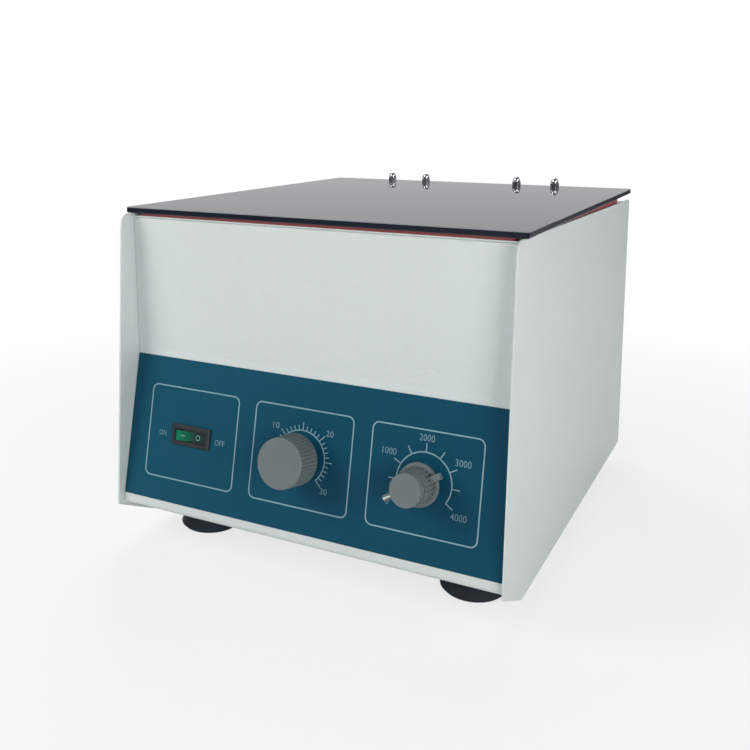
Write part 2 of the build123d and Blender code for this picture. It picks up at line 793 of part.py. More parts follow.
def lid_seal():
    x = inner_half - seal_side_inset
    front = front_top_recess + seal_front_inset
    rear = cabinet_depth - seal_rear_inset
    tall = deck_top + seal_blank_height
    outer = plate((-x, x), (front, rear), (deck_top, tall))
    outer = fillet(outer.edges().filter_by(Axis.Z), seal_corner_radius)
    inset = x - seal_width
    hole = (deck_top - cut_past, tall + cut_past)
    inner = plate((-inset, inset), (front + seal_width, rear - seal_width), hole)
    inner = fillet(inner.edges().filter_by(Axis.Z), seal_corner_radius - seal_width)
    low = knuckle_radius - seal_compression_gap
    trimmer_y = (-2 * cabinet_depth, cabinet_depth)
    above = plate((-cabinet_width, cabinet_width), trimmer_y, (low, low + 2 * seal_blank_height))
    return outer - inner - lid_frame * above


# ---- chamber ----
def chamber_bowl():
    path = [
        (bowl_radius + body_sheet + bowl_flange_width, deck_bottom),
        (bowl_radius, deck_bottom),
        (bowl_radius, bowl_floor),
        (bowl_floor_hole, bowl_floor),
    ]
    profile = bent_sheet(path, body_sheet, [body_sheet, bowl_floor_radius])
    bowl = rotor_frame * revolve(Plane.XZ * profile, axis=Axis.Z)
    for place in bowl_screw_places():
        bowl -= place * bore(bowl_screw_radius, -2 * body_sheet, -body_sheet)
    return bowl


def chamber_trim():
    edge = deck_opening_radius - seat_gap
    inner = edge - trim_wall
    top = deck_top + trim_wall
    bottom = deck_bottom - trim_wall
    channel = [
        (inner, bottom),
        (edge + trim_lip - trim_wall, bottom),
        (edge + trim_lip - trim_wall, deck_bottom),
        (edge, deck_bottom),
        (edge, deck_top),
        (edge + trim_lip, deck_top),
        (edge + trim_lip, top),
        (inner, top),
    ]
    return rotor_frame * turned(channel)


def shaft_boot():
    """Rubber gaiter from the bowl's floor hole in towards the spindle."""
    step_height = bowl_floor + boot_height / 2
    path = [
        (boot_neck_radius, bowl_floor + boot_height),
        (boot_neck_radius, step_height),
        (boot_step_radius, step_height),
        (boot_step_radius, bowl_floor),
        (bowl_floor_hole + boot_flange, bowl_floor),
    ]
    profile = bent_sheet(path, boot_thickness, [boot_thickness] * 3)
    return rotor_frame * revolve(Plane.XZ * profile, axis=Axis.Z)


# ---- rotor ----
def carrier_top(radius):
    """Height of the conical plate's top face, which is square to the tube axes."""
    seat = mouth_height - sleeve_flange_thickness / cos(tilt)
    return seat + (radius - mouth_radius) * tan(tilt)


def carrier_outline():
    """Hub with the conical plate round it."""
    rim = mouth_radius + carrier_rim * cos(tilt)
    low_rim = rim + carrier_plate * sin(tilt)
    return [
        (spindle_radius, hub_bottom),
        (hub_radius, hub_bottom),
        (hub_radius, carrier_top(hub_radius) - carrier_drop),
        (low_rim, carrier_top(low_rim) - carrier_drop),
        (rim, carrier_top(rim)),
        (hub_radius, carrier_top(hub_radius)),
        (hub_radius, hub_top),
        (spindle_radius, hub_top),
    ]


def sleeve_places():
    """Places of the tube mouths: +Z up out of the tube, along its tilted axis."""
    return [
        rotor_frame * place * Pos(0, 0, mouth_height) * Rot(0, -tube_tilt, 0)
        for place in around(place_count, mouth_radius)
    ]


def rotor_carrier():
    carrier = rotor_frame * turned(carrier_outline())
    root = hub_radius - rib_root
    tip = mouth_radius - sleeve_flange_radius
    rib_corners = [
        (root, carrier_top(root) - carrier_drop / 2 - rib_depth),
        (root, carrier_top(root) - carrier_drop / 2),
        (tip, carrier_top(tip) - carrier_drop / 2),
    ]
    rib_face = make_face(Polyline(*rib_corners, close=True))
    rib = extrude(Plane.XZ * rib_face, amount=rib_thickness / 2, both=True)
    half_place = 180 / place_count
    for place in around(pair_count, 0, half_place):
        carrier += rotor_frame * place * rib
    reach = carrier_plate + sleeve_flange_radius
    for place in sleeve_places():
        carrier -= place * drum(sleeve_radius + sleeve_fit, -reach, reach)
        carrier -= place * drum(sleeve_flange_radius + sleeve_fit, -sleeve_flange_thickness, reach)
    return carrier


def tube_sleeve():
    shell = drum(sleeve_radius, -sleeve_length, 0)
    shell = fillet(low_circle(shell), sleeve_end_round)
    shell += drum(sleeve_flange_radius, -sleeve_flange_thickness, 0)
    inside = drum(sleeve_bore, sleeve_wall - sleeve_length, cut_past)
    inside = fillet(low_circle(inside), sleeve_end_round - sleeve_wall)
    return shell - inside


def sleeve_cushion():
    bottom = sleeve_wall - sleeve_length
    pad = drum(sleeve_bore - seat_gap, bottom, bottom + cushion_height)
    pad = fillet(low_circle(pad), sleeve_end_round - sleeve_wall)
    return pad - Pos(0, 0, bottom + cushion_thickness + cushion_hollow) * Sphere(cushion_hollow)


def rotor_nut():
    nut = hex_nut(rotor_nut_flats, rotor_nut_height, spindle_thread_radius)
    return rotor_frame * Pos(0, 0, hub_top + rotor_washer_thickness) * nut


def rotor_washer():
    return rotor_frame * ring(
        rotor_washer_radius,
        spindle_thread_radius + seat_gap,
        hub_top,
        hub_top + rotor_washer_thickness,
    )


# ---- motor ----
def motor_can():
    inner = motor_radius - motor_can_wall
    can = ring(motor_radius, inner, motor_can_bottom, motor_can_top)
    reach = motor_radius + cut_past
    return rotor_frame * (can - brush_stem(brush_holder_radius, -reach, reach))


def motor_bell(low, high, bearing_low):
    """End cap of the motor, closed below, with a seat for the bearing at that height."""
    bell = drum(motor_radius, low, high)
    bell -= drum(motor_radius - motor_can_wall, low + motor_bell_wall, high + cut_past)
    seat_top = bearing_low + motor_bearing_width
    bell += drum(motor_bearing_radius + motor_bell_wall, low, seat_top)
    bell -= drum(motor_bearing_radius, bearing_low, seat_top + cut_past)
    return bell - bore(motor_bearing_radius - motor_bell_wall, low, high)


def lower_bearing_bottom():
    return motor_plate_top + motor_bell_wall


def upper_bearing_bottom():
    return motor_top - motor_bell_wall - motor_bearing_width


def motor_lower_bell():
    bell = motor_bell(motor_plate_top, motor_can_bottom, lower_bearing_bottom())
    for place in around(motor_screw_count, motor_screw_pitch_radius, motor_screw_first):
        bell += place * drum(motor_boss_radius, motor_plate_top, motor_can_bottom)
        bell -= place * bore(motor_screw_radius, motor_plate_top, motor_can_bottom)
    return rotor_frame * bell


def motor_upper_bell():
    turned_over = motor_bell(-motor_top, -motor_can_top, motor_bell_wall - motor_top)
    return rotor_frame * Rot(180, 0, 0) * turned_over


def motor_bearings():
    races = []
    for low in (lower_bearing_bottom(), upper_bearing_bottom()):
        high = low + motor_bearing_width
        races.append(rotor_frame * ring(motor_bearing_radius, spindle_radius + shaft_fit, low, high))
    return group(races)


def spindle():
    shaft = drum(spindle_radius, lower_bearing_bottom(), hub_top)
    shaft += drum(spindle_thread_radius, hub_top, hub_top + spindle_thread_length)
    shaft += drum(spindle_collar_radius, hub_bottom - spindle_collar_height, hub_bottom)
    return rotor_frame * shaft


def armature():
    middle = (motor_can_bottom + motor_can_top + commutator_length) / 2
    low, high = middle - armature_length / 2, middle + armature_length / 2
    core = ring(armature_radius, spindle_radius, low, high)
    slot = Box(2 * armature_slot_depth, armature_slot_width, armature_length + 2 * cut_past)
    for place in around(armature_slot_count, armature_radius):
        core -= place * Pos(0, 0, middle) * slot
    return rotor_frame * core


def commutator():
    low = motor_can_bottom + motor_bell_wall
    return rotor_frame * ring(commutator_radius, spindle_radius, low, low + commutator_length)


def brush_stem(radius, start, end):
    """Round bar along +X at the commutator's height, from one radius to another."""
    height = motor_can_bottom + motor_bell_wall + commutator_length / 2
    return Pos((start + end) / 2, 0, height) * Rot(0, 90, 0) * Cylinder(radius, end - start)


def brush_holders():
    start = commutator_radius + brush_gap
    stem = brush_stem(brush_holder_radius, start, motor_radius + brush_holder_proud)
    return group([rotor_frame * Rot(0, 0, angle) * stem for angle in (0, 180)])


def damper_places():
    half = damper_spacing / 2
    return [Pos(x, chamber_y + y, 0) for x in (-half, half) for y in (-half, half)]


def motor_plate():
    y = (chamber_y - motor_plate_size / 2, chamber_y + motor_plate_size / 2)
    half = motor_plate_size / 2
    sheet = plate((-half, half), y, (motor_plate_bottom, motor_plate_top))
    sheet = fillet(sheet.edges().filter_by(Axis.Z), motor_plate_corner)
    hole = (motor_plate_bottom, motor_plate_top)
    for place in damper_places():
        sheet -= place * bore(damper_stud_radius + seat_gap, *hole)
    for place in around(motor_screw_count, motor_screw_pitch_radius, motor_screw_first):
        sheet -= rotor_frame * place * bore(motor_screw_radius + seat_gap, *hole)
    return sheet - rotor_frame * bore(motor_bearing_radius, *hole)


def dampers():
    pads = []
    for place in damper_places():
        pad = drum(damper_radius, tray_top, motor_plate_bottom)
        pads.append(place * fillet(pad.edges().filter_by(GeomType.CIRCLE), damper_round))
    return group(pads)


def damper_studs():
    """Studs out of both ends of each damper, with their nuts."""
    studs = []
    for place in damper_places():
        top = motor_plate_top
        upper = drum(damper_stud_radius, motor_plate_bottom, top + nut_m5_height)
        upper += Pos(0, 0, top) * hexagon(nut_m5_flats, 0, nut_m5_height)
        lower = drum(damper_stud_radius, tray_bottom - nut_m5_height, tray_top)
        lower += Pos(0, 0, tray_bottom) * hexagon(nut_m5_flats, -nut_m5_height, 0)
        studs += [place * upper, place * lower]
    return group(studs)


def motor_screws():
    screw = pan_screw(
        motor_screw_head_radius, motor_screw_head_height, motor_screw_radius, motor_screw_length
    )
    screw = Pos(0, 0, motor_plate_bottom) * Rot(180, 0, 0) * screw
    places = around(motor_screw_count, motor_screw_pitch_radius, motor_screw_first)
    return group([rotor_frame * place * screw for place in places])


# ---- switch ----
rocker_rest = Rot(0, rocker_tilt, 0)


def switch_housing():
    bezel = Box(switch_bezel_width, switch_bezel_height, switch_bezel_proud)
    bezel = chamfer(bezel.faces().sort_by(Axis.Z)[-1].edges(), switch_bezel_chamfer)
    body = Box(switch_body_width, switch_body_height, switch_body_depth + overlay_thickness)
    housing = Pos(0, 0, overlay_thickness + switch_bezel_proud / 2) * bezel
    housing += Pos(0, 0, (overlay_thickness - switch_body_depth) / 2) * body
    half_well = rocker_reach + rocker_clearance
    half_gap = rocker_height / 2 + rocker_clearance
    well_z = (-switch_well_depth, bezel_face + cut_past)
    housing -= plate((-half_well, half_well), (-half_gap, half_gap), well_z)
    pin_length = rocker_height + 2 * (rocker_pin_bite + rocker_clearance)
    pin_hole = Rot(90, 0, 0) * Cylinder(rocker_pin_radius + shaft_fit, pin_length)
    housing -= Pos(0, 0, -rocker_pivot_depth) * pin_hole
    return on_panel(switch_x, switch_height, 0) * housing


def power_rocker():
    """Button with a shallow V face, drawn about its pivot and then tipped to rest."""
    rise = rocker_reach * tan(radians(rocker_face_angle))
    outline = [
        (-rocker_reach / 2, -rocker_depth),
        (rocker_reach / 2, -rocker_depth),
        (rocker_reach, 0),
        (rocker_reach, rocker_face + rise),
        (0, rocker_face),
        (-rocker_reach, rocker_face + rise),
        (-rocker_reach, 0),
    ]
    face = make_face(Polyline(*outline, close=True))
    button = extrude(Plane.XZ * face, amount=rocker_height / 2, both=True)
    button &= Rot(90, 0, 0) * Cylinder(rocker_reach, rocker_height)
    pin_length = rocker_height + 2 * rocker_pin_bite
    button += Rot(90, 0, 0) * Cylinder(rocker_pin_radius, pin_length)
    return on_panel(switch_x, switch_height, -rocker_pivot_depth) * rocker_rest * button


def terminals(count, pitch, depth, length):
    tabs = []
    for i in range(count):
        x = (i - (count - 1) / 2) * pitch
        tab = Box(terminal_thickness, terminal_width, length)
        tabs.append(Pos(x, 0, -depth - length / 2) * tab)
    return tabs


def control_terminals():
    """Blades at the back of the switch, the timer and the speed dial."""
    tabs = []
    for tab in terminals(switch_terminal_count, terminal_pitch, switch_body_depth, terminal_length):
        tabs.append(on_panel(switch_x, switch_height, 0) * tab)
    back = body_sheet + timer_body_depth
    side = timer_bell_radius + terminal_width / 2
    for tab in terminals(timer_terminal_count, 2 * terminal_pitch, back, dial_terminal_length):
        tabs.append(on_panel(timer_x, dial_height + side, 0) * tab)
    back = body_sheet + pot_depth
    for tab in terminals(pot_terminal_count, terminal_pitch, back, dial_terminal_length):
        tabs.append(on_panel(speed_x, dial_height, 0) * tab)
    return group(tabs)


# ---- dials ----
def flutes(count, radius, low, high, lean=0.0):
    """Round cutters on a circle, each leaning by an angle in degrees towards the axis."""
    cutter = Rot(0, -lean, 0) * drum(flute_radius, low, high)
    return group([place * cutter for place in around(count, radius)])


def shaft_bore():
    return drum(shaft_radius, -cut_past, shaft_engagement)


def time_knob():
    length = time_knob_length
    body = Pos(0, 0, length / 2) * Cone(time_knob_base_radius, time_knob_face_radius, length)
    body = chamfer(top_circle(body), time_knob_edge)
    taper = degrees(atan2(time_knob_base_radius - time_knob_face_radius, length))
    grip = time_knob_base_radius + flute_offset
    body -= flutes(time_flute_count, grip, time_flute_start, length - time_flute_stop, taper)
    return on_dial(timer_x) * (body - shaft_bore())


def on_dial(x):
    return on_panel(x, dial_height, overlay_thickness + knob_standoff)


def pointer_place():
    """Turned so that +X points just past the lowest mark of the speed dial."""
    return Rot(0, 0, 90 + speed_sweep / 2 - pointer_rest)


def speed_knob():
    flange_top = speed_flange_thickness
    cap_low = speed_knob_length - speed_cap_length
    knob = drum(speed_flange_radius, 0, flange_top)
    knob = fillet(top_circle(knob), speed_edge_round)
    grip_radius = speed_body_radius + flute_offset
    grip = drum(speed_body_radius, flange_top, cap_low)
    knob += grip - flutes(speed_flute_count, grip_radius, flange_top, cap_low)
    cap = drum(speed_cap_radius, cap_low, speed_knob_length)
    knob += fillet(top_circle(cap), speed_edge_round)
    half = pointer_width / 2
    bar_z = (flange_top, flange_top + pointer_thickness)
    bar = plate((-pointer_tail, pointer_reach), (-half, half), bar_z)
    bar = chamfer(bar.faces().sort_by(Axis.Z)[-1].edges().filter_by(Axis.X), pointer_chamfer)
    knob += pointer_place() * bar
    return on_dial(speed_x) * (knob - shaft_bore())


def pointer_mark():
    """White line along the pointer's marked end."""
    top = speed_flange_thickness + pointer_thickness
    half = mark_width / 2
    mark = plate((speed_body_radius, pointer_reach), (-half, half), (top, top + mark_thickness))
    return on_dial(speed_x) * pointer_place() * mark


def dial_shaft(x):
    high = overlay_thickness + knob_standoff + shaft_engagement
    return on_panel(x, dial_height, 0) * drum(shaft_radius, -body_sheet - shaft_tail, high)


def dial_nut(x):
    nut = hex_nut(nut_flats, nut_thickness, bush_radius)
    return on_panel(x, dial_height, overlay_thickness) * nut


def bush_and_bore(body):
    """The body with its threaded bush and the hole that its shaft turns in."""
    bush_top = overlay_thickness + bush_proud
    body += drum(bush_radius, -body_sheet, bush_top)
    return body - drum(shaft_radius + shaft_fit, -body_sheet - shaft_tail, bush_top + cut_past)


def timer_body():
    case = Box(timer_body_width, timer_body_height, timer_body_depth)
    case = fillet(case.edges().filter_by(Axis.Z), timer_corner_radius)
    case = Pos(0, 0, -body_sheet - timer_body_depth / 2) * case
    back = -body_sheet - timer_body_depth
    case += drum(timer_bell_radius, back - timer_bell_depth, back)
    return on_panel(timer_x, dial_height, 0) * bush_and_bore(case)


def potentiometer():
    case = drum(pot_radius, -body_sheet - pot_depth, -body_sheet)
    return on_panel(speed_x, dial_height, 0) * bush_and_bore(case)


# ---- electrics ----
board_bottom = tray_top + board_standoff_height
board_top = board_bottom + board_thickness


def board_places():
    x = board_width / 2 - board_hole_inset
    y = board_length / 2 - board_hole_inset
    return [
        Pos(board_x + sx * x, board_y + sy * y, 0) for sx in (-1, 1) for sy in (-1, 1)
    ]


def control_board():
    x = (board_x - board_width / 2, board_x + board_width / 2)
    y = (board_y - board_length / 2, board_y + board_length / 2)
    board = plate(x, y, (board_bottom, board_top))
    for place in board_places():
        board -= place * bore(board_screw_radius + seat_gap, board_bottom, board_top)
    return board


def board_standoffs():
    """Hexagonal posts, each riveted over below the tray and tapped at its top."""
    post = hexagon(2 * board_standoff_radius, tray_top, board_bottom)
    post += drum(board_screw_radius, tray_bottom - board_rivet_height, tray_top)
    post += drum(board_screw_head_radius, tray_bottom - board_rivet_height, tray_bottom)
    post -= drum(board_screw_radius, board_top - board_screw_length, board_bottom + cut_past)
    return group([place * post for place in board_places()])


def board_screws():
    screw = pan_screw(
        board_screw_head_radius, board_screw_head_height, board_screw_radius, board_screw_length
    )
    return group([place * Pos(0, 0, board_top) * screw for place in board_places()])


def heat_sink():
    sink = Box(sink_width, sink_base, sink_height)
    step = (sink_width - sink_fin) / (sink_fin_count - 1)
    for i in range(sink_fin_count):
        x = -(sink_width - sink_fin) / 2 + i * step
        sink += Pos(x, (sink_base + sink_depth) / 2, 0) * Box(sink_fin, sink_depth, sink_height)
    y = board_y + board_length / 2 - sink_setback
    return Pos(board_x, y, board_top + sink_height / 2) * sink


def capacitor():
    can = drum(capacitor_radius, 0, capacitor_length)
    can = fillet(can.edges().filter_by(GeomType.CIRCLE), capacitor_round)
    x = board_x + board_width / 2 - capacitor_inset
    return Pos(x, board_y - small_parts_setback, board_top) * can


def relay():
    block = Box(relay_width, relay_depth, relay_height)
    block = fillet(block.edges().filter_by(Axis.Z), relay_round)
    x = board_x - board_width / 2 + relay_inset
    return Pos(x, board_y - small_parts_setback, board_top + relay_height / 2) * block


def inlet_screw_places():
    half = inlet_screw_spacing / 2
    return [rear_face(inlet_x + side * half, inlet_height) for side in (-1, 1)]


def power_inlet():
    flange = Box(inlet_flange_width, inlet_flange_height, inlet_flange_thickness)
    flange = fillet(flange.edges().filter_by(Axis.Z), inlet_corner)
    flange = Pos(0, 0, inlet_flange_thickness / 2) * flange
    body = Box(inlet_body_width, inlet_body_height, inlet_body_depth)
    body = Pos(0, 0, -inlet_body_depth / 2) * body
    socket_z = (inlet_flange_thickness - inlet_socket_depth, inlet_flange_thickness + cut_past)
    half_x, half_y = inlet_socket_width / 2, inlet_socket_height / 2
    socket = plate((-half_x, half_x), (-half_y, half_y), socket_z)
    upper = socket.edges().filter_by(Axis.Z).group_by(Axis.Y)[0]
    socket = chamfer(upper, inlet_corner)
    inlet = rear_face(inlet_x, inlet_height) * (flange + body - socket)
    for place in inlet_screw_places():
        inlet -= place * bore(inlet_screw_radius + seat_gap, 0, inlet_flange_thickness)
    return inlet


def inlet_pins():
    floor = inlet_flange_thickness - inlet_socket_depth
    blade = Box(inlet_pin_thickness, inlet_pin_width, inlet_pin_length)
    blade = Pos(0, 0, floor + inlet_pin_length / 2) * blade
    tab = Box(terminal_thickness, terminal_width, terminal_length)
    tab = Pos(0, 0, -inlet_body_depth - terminal_length / 2) * tab
    pins = []
    for i, y in ((-1, -inlet_pin_width / 2), (0, inlet_pin_width / 2), (1, -inlet_pin_width / 2)):
        shift = Pos(i * inlet_pin_pitch, y, 0)
        pins += [rear_face(inlet_x, inlet_height) * shift * piece for piece in (blade, tab)]
    return group(pins)


def inlet_screws():
    screw = pan_screw(
        inlet_screw_head_radius, inlet_screw_head_height, inlet_screw_radius, inlet_screw_length
    )
    screw = Pos(0, 0, inlet_flange_thickness) * screw
    return group([place * screw for place in inlet_screw_places()])


def fuse_holder():
    body = drum(fuse_body_radius, -fuse_body_length, 0)
    body += drum(fuse_collar_radius, 0, fuse_collar_thickness)
    body += hexagon(fuse_nut_flats, -body_sheet - nut_thickness, -body_sheet)
    return rear_face(fuse_x, inlet_height) * body


def fuse_cap():
    low = fuse_collar_thickness
    high = low + fuse_cap_length
    cap = drum(fuse_cap_radius, low, high)
    grip_radius = fuse_cap_radius + flute_offset
    cap -= flutes(fuse_flute_count, grip_radius, low, high - fuse_flute_stop)
    cap -= Pos(0, 0, high) * Box(2 * fuse_cap_radius, fuse_slot_width, 2 * fuse_slot_depth)
    return rear_face(fuse_x, inlet_height) * cap


def rear_screws():
    screw = pan_screw(
        rear_screw_head_radius, rear_screw_head_height, rear_screw_radius, rear_screw_length
    )
    return group([place * screw for place in rear_screw_places()])


def bowl_screws():
    screw = pan_screw(
        bowl_screw_head_radius, bowl_screw_head_height, bowl_screw_radius, bowl_screw_length
    )
    return group([place * screw for place in bowl_screw_places()])


def hinge_screws():
    screw = pan_screw(
        hinge_screw_head_radius, hinge_screw_head_height, hinge_screw_radius, hinge_screw_length
    )
    return group([place * screw for place in hinge_screw_places()])


def foot_nuts():
    nut = hex_nut(nut_m5_flats, nut_m5_height, foot_screw_radius)
    return group([place * Pos(0, 0, tray_top) * nut for place in foot_places()])


# ---- every piece, by node name ----
def build_pieces():
    pieces = {
        "base_tray": base_tray(),
        "left_side_panel": side_panel(-1),
        "right_side_panel": side_panel(1),
        "front_panel": front_panel(),
        "rear_panel": rear_panel(),
        "rear_panel_posts": rear_posts(),
        "rear_panel_screws": rear_screws(),
        "top_deck": top_deck(),
        "control_overlay": control_overlay(),
        "feet": group([place * foot() for place in foot_places()]),
        "foot_screws": group([place * foot_screw() for place in foot_places()]),
        "foot_nuts": foot_nuts(),
        "lid": lid(),
        "lid_seal": lid_seal(),
        "hinge_upper_leaves": both_hinges(upper_leaf()),
        "hinge_lower_leaves": both_hinges(lower_leaf()),
        "hinge_pins": both_hinges(hinge_pin()),
        "hinge_bolts": group([lid_frame * place * hinge_bolt() for place in bolt_places()]),
        "acorn_nuts": group([lid_frame * place * acorn_nut() for place in bolt_places()]),
        "hinge_screws": hinge_screws(),
        "chamber_bowl": chamber_bowl(),
        "chamber_trim": chamber_trim(),
        "bowl_screws": bowl_screws(),
        "shaft_boot": shaft_boot(),
        "rotor_carrier": rotor_carrier(),
        "tube_sleeves": group([place * tube_sleeve() for place in sleeve_places()]),
        "sleeve_cushions": group([place * sleeve_cushion() for place in sleeve_places()]),
        "rotor_washer": rotor_washer(),
        "rotor_nut": rotor_nut(),
        "spindle": spindle(),
        "motor_armature": armature(),
        "motor_commutator": commutator(),
        "motor_bearings": motor_bearings(),
        "motor_can": motor_can(),
        "motor_lower_bell": motor_lower_bell(),
        "motor_upper_bell": motor_upper_bell(),
        "brush_holders": brush_holders(),
        "motor_plate": motor_plate(),
        "motor_screws": motor_screws(),
        "motor_dampers": dampers(),
        "damper_studs": damper_studs(),
        "switch_housing": switch_housing(),
        "power_rocker": power_rocker(),
        "control_terminals": control_terminals(),
        "time_knob": time_knob(),
        "timer_shaft": dial_shaft(timer_x),
        "timer_body": timer_body(),
        "dial_nuts": group([dial_nut(timer_x), dial_nut(speed_x)]),
        "speed_knob": speed_knob(),
        "pointer_mark": pointer_mark(),
        "speed_shaft": dial_shaft(speed_x),
        "potentiometer": potentiometer(),
        "control_board": control_board(),
        "board_standoffs": board_standoffs(),
        "board_parts": group([heat_sink(), capacitor(), relay()]),
        "power_inlet": power_inlet(),
        "inlet_pins": inlet_pins(),
        "inlet_screws": inlet_screws(),
        "board_screws": board_screws(),
        "fuse_holder": group([fuse_holder(), fuse_cap()]),
    }
    return pieces


pieces = build_pieces()
whole = Compound(children=[Compound(p.wrapped) for p in pieces.values()]).bounding_box()
footprint_middle = (whole.min.Y + whole.max.Y) / 2
to_origin = Pos(0, -footprint_middle, 0)

os.makedirs("parts", exist_ok=True)
for name, piece in pieces.items():
    export_step(to_origin * piece, f"parts/{name}.step")
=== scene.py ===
import json
import math

import bmesh
import bpy
from mathutils import Matrix, Vector


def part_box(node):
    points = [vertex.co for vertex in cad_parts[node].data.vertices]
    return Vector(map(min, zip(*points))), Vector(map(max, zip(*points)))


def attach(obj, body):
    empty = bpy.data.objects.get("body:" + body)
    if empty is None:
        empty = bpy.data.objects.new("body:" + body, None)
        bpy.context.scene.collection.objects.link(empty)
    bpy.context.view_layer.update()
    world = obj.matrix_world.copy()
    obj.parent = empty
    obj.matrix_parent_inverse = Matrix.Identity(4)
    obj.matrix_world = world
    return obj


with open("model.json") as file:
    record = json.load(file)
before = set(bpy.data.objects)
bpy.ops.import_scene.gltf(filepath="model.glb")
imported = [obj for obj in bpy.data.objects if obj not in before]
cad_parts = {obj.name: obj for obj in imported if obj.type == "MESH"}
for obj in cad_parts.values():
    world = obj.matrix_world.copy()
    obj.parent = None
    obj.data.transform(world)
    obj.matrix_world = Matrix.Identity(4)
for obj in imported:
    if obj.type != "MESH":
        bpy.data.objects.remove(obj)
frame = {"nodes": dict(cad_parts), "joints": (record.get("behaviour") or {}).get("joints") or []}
nodes = frame["nodes"]
joints = {joint["name"]: joint for joint in frame["joints"]}
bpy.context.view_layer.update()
scene = bpy.context.scene
MM = 0.001

# ---- the camera, at the photograph's viewing angle ----
FOOTPRINT_MIDDLE = 0.192833  # its y in part.py; the frame has it at y = 0
CAMERA_PLACE = (0.325326, -0.545628 - FOOTPRINT_MIDDLE, 0.345393)
YAW, PITCH, ROLL = (math.radians(a) for a in (26.393, 6.845, 0.601))
FOCAL_PX, MIDDLE_PX, FRAME_PX = 888.02, (361.557, 233.599), 750.0
SENSOR_WIDTH = 36.0

camera = bpy.data.objects.new("camera", bpy.data.cameras.new("camera"))
scene.collection.objects.link(camera)
scene.camera = camera
camera.data.sensor_width = SENSOR_WIDTH
camera.data.lens = SENSOR_WIDTH * FOCAL_PX / FRAME_PX
camera.data.shift_x = (FRAME_PX / 2 - MIDDLE_PX[0]) / FRAME_PX
camera.data.shift_y = (MIDDLE_PX[1] - FRAME_PX / 2) / FRAME_PX
camera.data.clip_start = 0.01
turn = Matrix.Rotation(ROLL, 3, "Z") @ Matrix.Rotation(PITCH, 3, "X")
turn = turn @ Matrix(((1, 0, 0), (0, 0, -1), (0, 1, 0))) @ Matrix.Rotation(-YAW, 3, "Z")
right, down, ahead = turn
axes = Matrix((right, -down, -ahead)).transposed()
camera.matrix_world = Matrix.Translation(CAMERA_PLACE) @ axes.to_4x4()

# ---- places on the sloping control panel: across, up the slope, out of the film ----
SLOPE_RUN, SLOPE_RISE = 23.9, 128.0
SLOPE = math.atan2(SLOPE_RUN, SLOPE_RISE)
FILM = 0.4 * MM
INK = 0.03 * MM
film_low, film_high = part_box("control_overlay")
panel = Matrix((
    (1, 0, 0, 0),
    (0, math.sin(SLOPE), -math.cos(SLOPE), film_low.y + FILM * math.cos(SLOPE)),
    (0, math.cos(SLOPE), math.sin(SLOPE), film_low.z),
    (0, 0, 0, 1),
))
TIMER, SPEED = (0.0, 56.0), (100.0, 56.0)
pivot = Vector(joints["power_rocker_tilt"]["pos_m"])


# ---- mesh helpers ----
CORNER_STEPS = 10
FIGURE_SPACING, FIGURE_STEPS, WELD = 1.04, 4, 1e-5


def new_piece(name, bm, at, material, body):
    """A mesh placed by a matrix, as a piece that rides on a body."""
    for v in bm.verts:
        v.co = at @ v.co
    bmesh.ops.recalc_face_normals(bm, faces=bm.faces)
    mesh = bpy.data.meshes.new(name)
    bm.to_mesh(mesh)
    bm.free()
    for face in mesh.polygons:
        face.use_smooth = False
    mesh.materials.append(material)
    piece = bpy.data.objects.new(name, mesh)
    scene.collection.objects.link(piece)
    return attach(piece, body)


def stroke(bm, points, width, closed=False, low=FILM, high=FILM + INK):
    """A printed line along points in millimetres, between two heights in metres."""
    count = len(points)
    rows = []
    for i, (x, y) in enumerate(points):
        before = points[i - 1] if closed or i else points[i]
        after = points[(i + 1) % count] if closed or i + 1 < count else points[i]
        along = Vector((after[0] - before[0], after[1] - before[1])).normalized()
        side = Vector((-along.y, along.x)) * width / 2
        ends = [(x + side.x, y + side.y), (x - side.x, y - side.y)]
        rows.append([
            bm.verts.new((px * MM, py * MM, z)) for z in (low, high) for px, py in ends
        ])
    last = count if closed else count - 1
    for i in range(last):
        a, b = rows[i], rows[(i + 1) % count]
        for p, q in ((0, 1), (1, 3), (3, 2), (2, 0)):
            bm.faces.new((a[p], a[q], b[q], b[p]))
    if not closed:
        for end in (rows[0], rows[-1]):
            bm.faces.new((end[0], end[1], end[3], end[2]))


def around(centre, radius, angle):
    """A point round a centre, at an angle in degrees clockwise from straight up."""
    a = math.radians(angle)
    return (centre[0] + radius * math.sin(a), centre[1] + radius * math.cos(a))


def arc(centre, radius, start, end, steps):
    """Points of an arc between two angles."""
    return [around(centre, radius, start + (end - start) * i / steps) for i in range(steps + 1)]


def rounded_frame(low, high, radius):
    """Points of a frame with round corners, clockwise from its upper right corner."""
    left, bottom, right, top = low[0] + radius, low[1] + radius, high[0] - radius, high[1] - radius
    points = []
    for i, corner in enumerate(((right, top), (right, bottom), (left, bottom), (left, top))):
        points += arc(corner, radius, 90 * i, 90 * i + 90, CORNER_STEPS)
    return points


